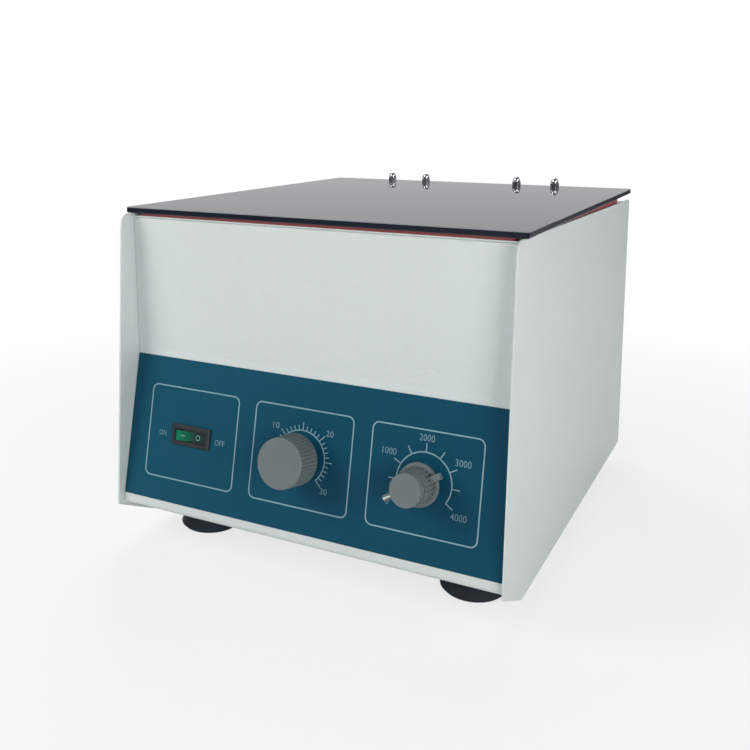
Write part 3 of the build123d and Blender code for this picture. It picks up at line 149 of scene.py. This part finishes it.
def words(text, centre, width, height):
    """Plain printed figures of the given size, in millimetres, on the film."""
    curve = bpy.data.curves.new("figures", "FONT")
    curve.body = text
    curve.space_character = FIGURE_SPACING
    curve.resolution_u = FIGURE_STEPS
    source = bpy.data.objects.new("figures", curve)
    scene.collection.objects.link(source)
    bpy.context.view_layer.update()
    evaluated = source.evaluated_get(bpy.context.evaluated_depsgraph_get())
    mesh = bpy.data.meshes.new_from_object(evaluated)
    bpy.data.objects.remove(source)
    bm = bmesh.new()
    bm.from_mesh(mesh)
    bpy.data.meshes.remove(mesh)
    bmesh.ops.remove_doubles(bm, verts=bm.verts, dist=WELD)
    xs = [v.co.x for v in bm.verts]
    ys = [v.co.y for v in bm.verts]
    for v in bm.verts:
        v.co.x = (centre[0] + ((v.co.x - min(xs)) / (max(xs) - min(xs)) - 0.5) * width) * MM
        v.co.y = (centre[1] + ((v.co.y - min(ys)) / (max(ys) - min(ys)) - 0.5) * height) * MM
        v.co.z = FILM
    grown = bmesh.ops.extrude_face_region(bm, geom=bm.faces[:])
    for v in grown["geom"]:
        if isinstance(v, bmesh.types.BMVert):
            v.co.z += INK
    return bm


# ---- material helpers ----
COLOUR_A, COLOUR_B, COLOUR_OUT = 6, 7, 2  # the colour sockets of a Mix node


class Nodes:
    """A material's node tree, with the object's own coordinates in metres."""

    edge = 0.25 * MM  # how far edges look rounded

    def __init__(self, name):
        self.material = bpy.data.materials.new(name)
        self.material.use_nodes = True
        self.tree = self.material.node_tree
        self.shader = self.tree.nodes["Principled BSDF"]
        self.place = self.add("ShaderNodeTexCoord").outputs["Object"]

    def add(self, kind, **values):
        """A new node, with some of its settings."""
        node = self.tree.nodes.new(kind)
        for key, value in values.items():
            setattr(node, key, value)
        return node

    def put(self, socket, value):
        """Give a socket a fixed value or another node's output."""
        if isinstance(value, bpy.types.NodeSocket):
            self.tree.links.new(value, socket)
        else:
            socket.default_value = value

    def set(self, name, value):
        """Give one of the shader's inputs a value, by name."""
        self.put(self.shader.inputs[name], value)

    def number(self, operation, *values):
        """A sum on numbers or other nodes' outputs."""
        node = self.add("ShaderNodeMath", operation=operation)
        for socket, value in zip(node.inputs, values):
            self.put(socket, value)
        return node.outputs[0]

    def vector(self, operation, *values):
        """A sum on vectors or other nodes' outputs."""
        node = self.add("ShaderNodeVectorMath", operation=operation)
        for socket, value in zip(node.inputs, values):
            self.put(socket, value)
        return node.outputs["Value" if operation in ("LENGTH", "DOT_PRODUCT") else "Vector"]

    def split(self, value):
        """The X, Y and Z of a vector, by name."""
        node = self.add("ShaderNodeSeparateXYZ")
        self.put(node.inputs[0], value)
        return node.outputs

    def joined(self, x, y):
        """A flat vector of two numbers."""
        node = self.add("ShaderNodeCombineXYZ")
        self.put(node.inputs["X"], x)
        self.put(node.inputs["Y"], y)
        return node.outputs[0]

    def noise(self, scale, detail=3.0, rough=0.5, stretch=None, source=None):
        """Noise at the object's own coordinates, or at another node's output."""
        source = source or self.place
        if stretch:
            mapping = self.add("ShaderNodeMapping")
            self.put(mapping.inputs["Scale"], stretch)
            self.put(mapping.inputs["Vector"], source)
            source = mapping.outputs["Vector"]
        node = self.add("ShaderNodeTexNoise")
        self.put(node.inputs["Scale"], scale)
        self.put(node.inputs["Detail"], detail)
        self.put(node.inputs["Roughness"], rough)
        self.put(node.inputs["Vector"], source)
        return node.outputs["Fac"]

    def rings(self, centre, scale):
        """Noise in rings about an upright axis, as a lathe or a polishing wheel leaves it."""
        parts = self.split(self.vector("SUBTRACT", self.place, centre))
        radius = self.vector("LENGTH", self.joined(parts["X"], parts["Y"]))
        return self.noise(scale, 4.0, 0.6, source=self.joined(radius, parts["Z"]))

    def between(self, value, low, high, start=0.3, end=0.7):
        """A value from start to end, mapped to low to high."""
        node = self.add("ShaderNodeMapRange")
        self.put(node.inputs["From Min"], start)
        self.put(node.inputs["From Max"], end)
        self.put(node.inputs["To Min"], low)
        self.put(node.inputs["To Max"], high)
        self.put(node.inputs["Value"], value)
        return node.outputs["Result"]

    def colours(self, value, stops):
        """A value as a colour, between stops of (value, colour)."""
        ramp = self.add("ShaderNodeValToRGB")
        elements = ramp.color_ramp.elements
        while len(elements) < len(stops):
            elements.new(0.5)
        for element, (place, colour) in zip(elements, stops):
            element.position = place
            element.color = (*colour, 1)
        self.put(ramp.inputs["Fac"], value)
        return ramp.outputs["Color"]

    def tinted(self, share, usual, colour, blend="MIX"):
        """The usual colour, blended by a share with a fixed one."""
        node = self.add("ShaderNodeMix", data_type="RGBA", blend_type=blend)
        self.put(node.inputs["Factor"], share)
        self.put(node.inputs[COLOUR_A], usual)
        self.put(node.inputs[COLOUR_B], (*colour, 1))
        return node.outputs[COLOUR_OUT]

    def paint(self, value, colour, vary):
        """Base colour that wanders by a share either side of the colour."""
        dark = tuple(c * (1 - vary) for c in colour)
        light = tuple(min(1, c * (1 + vary)) for c in colour)
        self.set("Base Color", self.colours(value, [(0.3, dark), (0.7, light)]))

    def rounded(self, radius, samples):
        """The surface's direction, as if its edges were rounded."""
        node = self.add("ShaderNodeBevel", samples=samples)
        self.put(node.inputs["Radius"], radius)
        return node.outputs["Normal"]

    def bumps(self, *layers):
        """Bump layers of (value, depth in metres), over slightly rounded edges."""
        normal = self.rounded(self.edge, 4)
        for value, depth in layers:
            bump = self.add("ShaderNodeBump")
            self.put(bump.inputs["Strength"], 1.0)
            self.put(bump.inputs["Distance"], depth)
            self.put(bump.inputs["Height"], value)
            self.put(bump.inputs["Normal"], normal)
            normal = bump.outputs["Normal"]
        self.set("Normal", normal)


def linear(red, green, blue):
    """A colour written as on a screen, 0 to 255, as the shader takes it (the sRGB curve)."""
    shares = (value / 255 for value in (red, green, blue))
    return tuple(((c + 0.055) / 1.055) ** 2.4 if c > 0.04045 else c / 12.92 for c in shares)


def plastic(name, colour, roughness, vary=0.06, grain=1600.0, depth=0.02 * MM, specular=0.5):
    """Moulded plastic or rubber: a fine grain, with a faint cloudiness."""
    m = Nodes(name)
    cloud = m.noise(60.0, 4.0)
    fine = m.noise(grain, 3.0, 0.6)
    m.paint(cloud, colour, vary)
    m.set("Roughness", m.between(fine, roughness - 0.06, roughness + 0.06))
    m.set("Specular IOR Level", specular)
    m.bumps((fine, depth))
    return m.material


def powder_coat(name, colour):
    """Paint baked on sheet metal: a fine orange peel, with a faint cloudiness."""
    m = Nodes(name)
    m.edge = 0.5 * MM
    peel = m.noise(620.0, 2.0, 0.55)
    speck = m.noise(1900.0, 2.0, 0.6)
    cloud = m.noise(9.0, 3.0)
    m.paint(cloud, colour, 0.012)
    m.set("Roughness", m.between(speck, 0.34, 0.46))
    m.set("Specular IOR Level", 0.4)
    m.bumps((peel, 0.6 * MM), (speck, 0.06 * MM))
    return m.material


def metal(name, colour, roughness, stretch, scale=900.0, depth=0.012 * MM, vary=0.08):
    """Brushed or drawn metal, with its grain along the axis that has the smallest stretch."""
    m = Nodes(name)
    grain = m.noise(scale, 4.0, 0.65, stretch)
    smudge = m.noise(35.0, 3.0)
    m.paint(grain, colour, vary)
    m.set("Metallic", 1.0)
    m.set("Roughness", m.between(smudge, roughness - 0.07, roughness + 0.09))
    m.bumps((grain, depth))
    return m.material


def turned_metal(name, colour, roughness, centre, scale, depth=0.012 * MM, vary=0.08):
    """Metal with fine rings about an upright axis."""
    m = Nodes(name)
    rings = m.rings(centre, scale)
    smudge = m.noise(30.0, 3.0)
    m.paint(rings, colour, vary)
    m.set("Metallic", 1.0)
    m.set("Roughness", m.between(smudge, roughness - 0.06, roughness + 0.1))
    m.bumps((rings, depth))
    return m.material


# ---- materials ----
rotor_low, rotor_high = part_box("rotor_carrier")
ROTOR_AXIS = (0.0, (rotor_low.y + rotor_high.y) / 2, 0.0)
# the span across the rocker over which its painted light fades, left to right
ROCKER_PAINTED_LIGHT = (-115 * MM, -87 * MM)
ACRYLIC_IOR = 1.49

white_paint = powder_coat("white_paint", linear(223, 231, 229))
black_plastic = plastic("black_plastic", linear(30, 31, 34), 0.4, 0.15)
switch_black = plastic("switch_black", linear(40, 42, 45), 0.36, 0.1, 1800.0, 0.01 * MM)
foot_rubber = plastic("foot_rubber", linear(44, 51, 60), 0.62, 0.15, 1200.0, 0.04 * MM, 0.3)
seal_red = plastic("seal_red", linear(168, 84, 86), 0.6, 0.1, 1100.0, 0.04 * MM, 0.3)
ink_white = plastic("ink_white", linear(144, 180, 194), 0.5, 0.05, 2600.0, 0.004 * MM, 0.2)
figure_ink = plastic("figure_ink", linear(126, 161, 176), 0.5, 0.05, 2600.0, 0.004 * MM, 0.2)
mark_white = plastic("mark_white", linear(240, 242, 242), 0.35, 0.02, 2600.0, 0.004 * MM)
mark_mint = plastic("mark_mint", linear(165, 205, 195), 0.4, 0.03, 2600.0, 0.004 * MM)
board_green = plastic("board_green", linear(34, 96, 58), 0.35, 0.12, 500.0, 0.03 * MM)
part_black = plastic("part_black", linear(52, 55, 60), 0.45, 0.12)
motor_dark = powder_coat("motor_dark", linear(58, 63, 66))
chrome = metal("chrome", (0.62, 0.63, 0.65), 0.12, (1, 1, 1), 260.0, 0.004 * MM, 0.03)
chrome_shader = chrome.node_tree.nodes["Principled BSDF"]
chrome_shader.inputs["Specular Tint"].default_value = (0.15, 0.16, 0.18, 1)  # keeps its rims dark
zinc = metal("zinc", (0.62, 0.63, 0.64), 0.3, (1, 1, 1), 700.0, 0.02 * MM)
hinge_steel = metal("hinge_steel", (0.66, 0.67, 0.68), 0.28, (0.05, 1, 1), 1500.0)
brass = metal("brass", (0.78, 0.62, 0.3), 0.3, (1, 0.1, 1), 900.0)
copper = metal("copper", (0.72, 0.38, 0.22), 0.32, (1, 1, 0.1), 900.0)
lamination = metal("lamination", (0.3, 0.31, 0.32), 0.45, (0.02, 0.02, 1), 2200.0, 0.05 * MM, 0.25)
bowl_steel = turned_metal("bowl_steel", (0.66, 0.67, 0.67), 0.28, ROTOR_AXIS, 900.0)
rotor_alloy = turned_metal("rotor_alloy", (0.6, 0.61, 0.63), 0.34, ROTOR_AXIS, 700.0)
sleeve_alloy = metal("sleeve_alloy", (0.72, 0.73, 0.74), 0.3, (1, 1, 0.08), 1300.0)


def film_blue():
    """Printed film on the control panel, with painted shade that makes it slightly darker towards its
    right end.
    """
    m = Nodes("film_blue")
    # painted shade: the film's colour darkens from left to right, as the light falls off across it
    across = m.between(m.split(m.place)["X"], 0.0, 1.0, -160 * MM, 160 * MM)
    shade = m.number("MULTIPLY_ADD", m.noise(26.0, 4.0), 0.25, across)
    stops = [(0.1, linear(13, 82, 106)), (0.95, linear(15, 76, 100))]
    m.set("Base Color", m.colours(shade, stops))
    grain = m.noise(2400.0, 2.0, 0.6)
    m.set("Roughness", m.between(grain, 0.36, 0.5))
    m.set("Specular IOR Level", 0.15)
    m.bumps((grain, 0.012 * MM))
    return m.material


def smoked_acrylic():
    """The lid: dark, glossy sheet, faintly wavy and scuffed, with a painted highlight on its bevelled
    edges.
    """
    m = Nodes("smoked_acrylic")
    m.edge = 0.1 * MM
    cloud = m.noise(7.0, 2.0)
    scuff = m.noise(90.0, 6.0, 0.7, (1, 9, 1))
    facing_up = m.split(m.add("ShaderNodeTexCoord").outputs["Normal"])["Z"]
    # painted highlight: a pale colour on the sloping bevel faces, in place of their reflection
    sheet, bevel_highlight = linear(25, 31, 43), linear(150, 156, 160)
    stops = [(0.0, sheet), (0.25, sheet), (0.4, bevel_highlight), (0.85, bevel_highlight), (0.94, sheet)]
    m.set("Base Color", m.colours(m.number("MULTIPLY_ADD", scuff, 0.04, facing_up), stops))
    m.set("Roughness", m.between(scuff, 0.04, 0.1, 0.45, 0.8))
    m.set("IOR", ACRYLIC_IOR)
    m.bumps((cloud, 0.02 * MM))
    return m.material


def from_middle(m, axis, middle):
    """Distance to either side of a middle point, along an axis."""
    along = m.vector("DOT_PRODUCT", m.place, axis)
    return m.number("ABSOLUTE", m.number("SUBTRACT", along, middle.dot(axis)))


def green_with_painted_light():
    """Clear green rocker: painted light makes its left half bright, and painted shade darkens it along
    its ends and walls.
    """
    m = Nodes("green_with_painted_light")
    # painted light: bright green on the rocker's left half, fading to dark green towards its right
    across = m.between(m.split(m.place)["X"], 0.0, 1.0, *ROCKER_PAINTED_LIGHT)
    cloud = m.noise(300.0, 3.0)
    stops = [
        (0.1, linear(20, 136, 96)), (0.5, linear(16, 108, 78)),
        (0.7, linear(10, 58, 48)), (1.0, linear(10, 48, 42)),
    ]
    face = m.colours(m.number("MULTIPLY_ADD", cloud, 0.2, across), stops)
    # painted shade: a dark border along the rocker's ends and walls, where its well shades it
    middle = pivot + Vector((0.5 * MM, 0, 0))
    ends = m.between(from_middle(m, Vector((1, 0, 0)), middle), 0.0, 1.0, 11.6 * MM, 12.3 * MM)
    wall_shade = m.between(from_middle(m, panel.col[1].to_3d(), pivot), 0.0, 1.0, 3.7 * MM, 4.2 * MM)
    m.set("Base Color", m.tinted(m.number("MAXIMUM", ends, wall_shade), face, linear(24, 38, 38)))
    m.set("Roughness", m.between(cloud, 0.12, 0.2))
    m.set("Coat Weight", 0.4)
    m.bumps((cloud, 0.01 * MM))
    return m.material


def fluted_grey():
    """Grey knobs: a painted highlight on their edges, and painted shade down in the flutes."""
    m = Nodes("knob_grey")
    m.edge = 0.12 * MM
    fine = m.noise(2200.0, 3.0, 0.6)
    base = m.colours(m.noise(60.0, 4.0), [(0.3, linear(112, 122, 124)), (0.7, linear(116, 126, 128))])
    # painted shade: the colour darkens down in the flutes, where they are hidden from the light
    openness = m.add("ShaderNodeAmbientOcclusion", samples=8, only_local=True)
    m.put(openness.inputs["Distance"], 1.2 * MM)
    flute_shade = m.between(openness.outputs["AO"], 1.0, 0.0, 0.5, 0.9)
    shaded = m.tinted(flute_shade, base, (0.16, 0.16, 0.16), "MULTIPLY")
    # painted highlight: a paler colour on the knobs' rounded edges and rims
    true_normal = m.add("ShaderNodeNewGeometry").outputs["Normal"]
    flatness = m.vector("DOT_PRODUCT", m.rounded(0.45 * MM, 6), true_normal)
    edge_highlight = m.between(flatness, 0.7, 0.0, 0.8, 0.995)
    m.set("Base Color", m.tinted(edge_highlight, shaded, linear(158, 168, 170)))
    m.set("Roughness", m.between(fine, 0.42, 0.54))
    m.set("Specular IOR Level", 0.35)
    m.bumps((fine, 0.015 * MM))
    return m.material


film = film_blue()
knob_grey = fluted_grey()
acrylic = smoked_acrylic()
green = green_with_painted_light()

FINISHES = {
    white_paint: "left_side_panel right_side_panel front_panel rear_panel top_deck base_tray "
                 "rear_panel_posts",
    film: "control_overlay",
    acrylic: "lid",
    seal_red: "lid_seal chamber_trim",
    foot_rubber: "feet motor_dampers shaft_boot sleeve_cushions",
    knob_grey: "time_knob speed_knob",
    mark_white: "pointer_mark",
    switch_black: "switch_housing",
    black_plastic: "power_inlet fuse_holder timer_body brush_holders",
    green: "power_rocker",
    chrome: "acorn_nuts hinge_pins",
    hinge_steel: "hinge_upper_leaves hinge_lower_leaves",
    zinc: "rear_panel_screws foot_screws foot_nuts hinge_bolts hinge_screws bowl_screws rotor_washer "
          "rotor_nut spindle timer_shaft speed_shaft dial_nuts motor_bearings motor_screws damper_studs "
          "motor_plate board_screws inlet_screws board_standoffs potentiometer",
    bowl_steel: "chamber_bowl",
    rotor_alloy: "rotor_carrier motor_lower_bell motor_upper_bell",
    sleeve_alloy: "tube_sleeves",
    motor_dark: "motor_can",
    lamination: "motor_armature",
    copper: "motor_commutator",
    brass: "control_terminals inlet_pins",
    board_green: "control_board",
    part_black: "board_parts",
}
for material, names in FINISHES.items():
    for name in names.split():
        node = nodes[name]
        if not node.material_slots:
            node.data.materials.append(material)
        for slot in node.material_slots:
            slot.material = material

# the lid's ground edges, as narrow slopes
eased = nodes["lid"].modifiers.new("eased_edges", "BEVEL")
eased.width = 1.3 * MM
eased.segments = 1
eased.limit_method = "ANGLE"
eased.angle_limit = math.radians(60)

# ---- the print on the control panel ----
FRAME_SIDES = ((-143.4, -58.8), (-42.7, 41.9), (57.5, 142.4))
FRAME_LOW, FRAME_HIGH, FRAME_CORNER, FRAME_LINE = 18.9, 92.5, 5.0, 1.0
RING_LINE, RING_STEPS, TICK_OVERLAP = 0.95, 96, 0.2
lines = bmesh.new()


def printed_dial(centre, radius, sweep, spaces, tick_line, reach):
    """A dial's ring, swept to either side of straight up, with ticks at even angles."""
    stroke(lines, arc(centre, radius, -sweep, sweep, RING_STEPS), RING_LINE)
    for tick in range(spaces + 1):
        angle = -sweep + 2 * sweep / spaces * tick
        ends = (radius - TICK_OVERLAP, reach(tick))
        stroke(lines, [around(centre, r, angle) for r in ends], tick_line)


for left, right_side in FRAME_SIDES:
    outline = rounded_frame((left, FRAME_LOW), (right_side, FRAME_HIGH), FRAME_CORNER)
    stroke(lines, outline, FRAME_LINE, closed=True)
printed_dial(
    TIMER, radius=20.4, sweep=135.0, spaces=30, tick_line=0.75,
    reach=lambda minute: 24.2 if minute % 5 else 26.7,
)
printed_dial(SPEED, radius=21.0, sweep=123.2, spaces=8, tick_line=0.8, reach=lambda step: 27.2)
new_piece("panel_print_lines", lines, panel, ink_white, "cabinet")

# text, its middle on the panel, its width and its height
FIGURES = (
    ("0", (-23.0, 34.6), 2.4, 4.6), ("10", (-23.5, 76.9), 5.4, 4.6), ("20", (22.9, 77.3), 6.0, 4.6),
    ("30", (21.8, 34.6), 6.0, 4.6), ("0", (73.4, 38.0), 2.5, 4.8), ("1000", (71.9, 73.5), 11.0, 4.8),
    ("2000", (99.8, 87.0), 11.7, 4.8), ("3000", (128.0, 73.7), 11.7, 4.8),
    ("4000", (127.6, 36.7), 11.9, 4.8),
    ("ON", (-129.5, 54.2), 6.8, 4.3), ("OFF", (-73.7, 54.4), 9.2, 4.3),
)
for i, (text, centre, width, height) in enumerate(FIGURES):
    figure = words(text, centre, width, height)
    new_piece(f"panel_figure_{i + 1:02d}", figure, panel, figure_ink, "cabinet")

# ---- the two raised marks on the rocker: a bar on the left half, a ring on the right ----
TIP, HALF_SLOPE = math.radians(8.0), math.radians(9.0)
CREASE = 2.6  # the face's middle, out from the pivot
MARK_AT, MARK_SUNK, MARK_THICK = 6.7, 0.02 * MM, 0.12 * MM
rocker = Matrix.Translation(pivot) @ panel.to_3x3().to_4x4() @ Matrix.Rotation(TIP, 4, "Y")


def rocker_face(side):
    """Frame on one half of the rocker's face, at the mark's middle."""
    middle = Vector((side * MARK_AT, 0, CREASE + MARK_AT * math.tan(HALF_SLOPE))) * MM
    return rocker @ Matrix.Translation(middle) @ Matrix.Rotation(-side * HALF_SLOPE, 4, "Y")


def raised(name, side, points, width, closed):
    """A raised mark on one half of the rocker's face."""
    bm = bmesh.new()
    stroke(bm, points, width, closed, -MARK_SUNK, MARK_THICK)
    new_piece(name, bm, rocker_face(side), mark_mint, "power_rocker")


raised("rocker_mark_on", -1, [(-1.6, 0), (1.6, 0)], 0.5, False)
raised("rocker_mark_off", 1, arc((0, 0), 1.9, 0, 350, 35), 0.42, True)

# ---- floor, lamps and world ----
FLOOR_REACH, FLOOR_DROP = 30.0, 0.2 * MM
FLOOR_FADE = (0.3, 0.85)  # how far out it starts and ends
FLOOR_WHITE = (0.74, 1.0)  # the share of plain white at either end

floor_mesh = bpy.data.meshes.new("floor")
corners = [(x * FLOOR_REACH, y * FLOOR_REACH, 0) for x, y in ((-1, -1), (1, -1), (1, 1), (-1, 1))]
floor_mesh.from_pydata(corners, [], [(0, 1, 2, 3)])
floor = bpy.data.objects.new("floor", floor_mesh)
scene.collection.objects.link(floor)
floor.location.z = -FLOOR_DROP


def floor_finish():
    """Pale floor that keeps the object's shadow and fades to plain white further out."""
    m = Nodes("floor_finish")
    m.set("Base Color", (0.9, 0.9, 0.9, 1))
    m.set("Roughness", 0.9)
    m.set("Specular IOR Level", 0.1)
    white = m.add("ShaderNodeEmission")
    far = m.between(m.vector("LENGTH", m.place), *FLOOR_WHITE, *FLOOR_FADE)
    seen = m.number("MULTIPLY", m.add("ShaderNodeLightPath").outputs["Is Camera Ray"], far)
    mix = m.add("ShaderNodeMixShader")
    m.put(mix.inputs["Fac"], seen)
    m.put(mix.inputs[1], m.shader.outputs[0])
    m.put(mix.inputs[2], white.outputs[0])
    m.put(m.tree.nodes["Material Output"].inputs["Surface"], mix.outputs[0])
    return m.material


floor_mesh.materials.append(floor_finish())

ROOM_LIGHT = 0.08
REFLECTED_DIM, REFLECTED_LIGHT = 0.1, 0.64
ROOM_START, ROOM_END = -0.35, 0.75  # dim to light; -1 is the camera's side, 1 is behind the object
COOL_WHITE = (0.97, 0.985, 1.0, 1)

world = bpy.data.worlds.new("world")
scene.world = world
world.use_nodes = True
tree = world.node_tree
tree.nodes.clear()
path = tree.nodes.new("ShaderNodeLightPath")


def surround(strength, colour=COOL_WHITE):
    """Even surroundings of one colour."""
    shade = tree.nodes.new("ShaderNodeBackground")
    shade.inputs["Color"].default_value = colour
    shade.inputs["Strength"].default_value = strength
    return shade


def swapped(ray, usual, seen):
    """The usual surroundings, changed for one kind of ray."""
    mix = tree.nodes.new("ShaderNodeMixShader")
    tree.links.new(path.outputs[ray], mix.inputs["Fac"])
    tree.links.new(usual.outputs[0], mix.inputs[1])
    tree.links.new(seen.outputs[0], mix.inputs[2])
    return mix


# reflections see a grey room: light behind the object, dim on the camera's side
heading = tree.nodes.new("ShaderNodeTexCoord")
facing = tree.nodes.new("ShaderNodeVectorMath")
facing.operation = "DOT_PRODUCT"
facing.inputs[1].default_value = (-math.sin(YAW), math.cos(YAW), 0)
tree.links.new(heading.outputs["Generated"], facing.inputs[0])
room = tree.nodes.new("ShaderNodeMapRange")
room.inputs["From Min"].default_value = ROOM_START
room.inputs["From Max"].default_value = ROOM_END
room.inputs["To Min"].default_value = REFLECTED_DIM
room.inputs["To Max"].default_value = REFLECTED_LIGHT
tree.links.new(facing.outputs["Value"], room.inputs["Value"])
reflected = surround(1.0)
tree.links.new(room.outputs["Result"], reflected.inputs["Strength"])
mixed = swapped("Is Glossy Ray", surround(ROOM_LIGHT), reflected)
mixed = swapped("Is Camera Ray", mixed, surround(1.0, (1, 1, 1, 1)))
output = tree.nodes.new("ShaderNodeOutputWorld")
tree.links.new(mixed.outputs[0], output.inputs["Surface"])


def lamp(name, place, aim, size, power):
    """A square lamp, with its places and size in metres and its power in watts."""
    data = bpy.data.lights.new(name, "AREA")
    data.shape = "SQUARE"
    data.size = size
    data.energy = power
    thing = bpy.data.objects.new(name, data)
    scene.collection.objects.link(thing)
    thing.location = place
    thing.rotation_mode = "QUATERNION"
    thing.rotation_quaternion = (Vector(aim) - Vector(place)).to_track_quat("-Z", "Y")


lamp("key", (-1.0, -1.1, 1.0), (-0.1, 0, 0.15), 0.9, 13.6)
lamp("fill", (1.0, -0.9, 0.45), (0.1, -0.1, 0.18), 0.6, 6.6)
lamp("side", (1.6, 0.1, 0.9), (0.1, 0, 0.15), 0.8, 5.6)
lamp("back", (-0.9, 1.5, 1.3), (-0.05, 0.1, 0.15), 1.2, 22.0)

scene.view_settings.view_transform = "Standard"
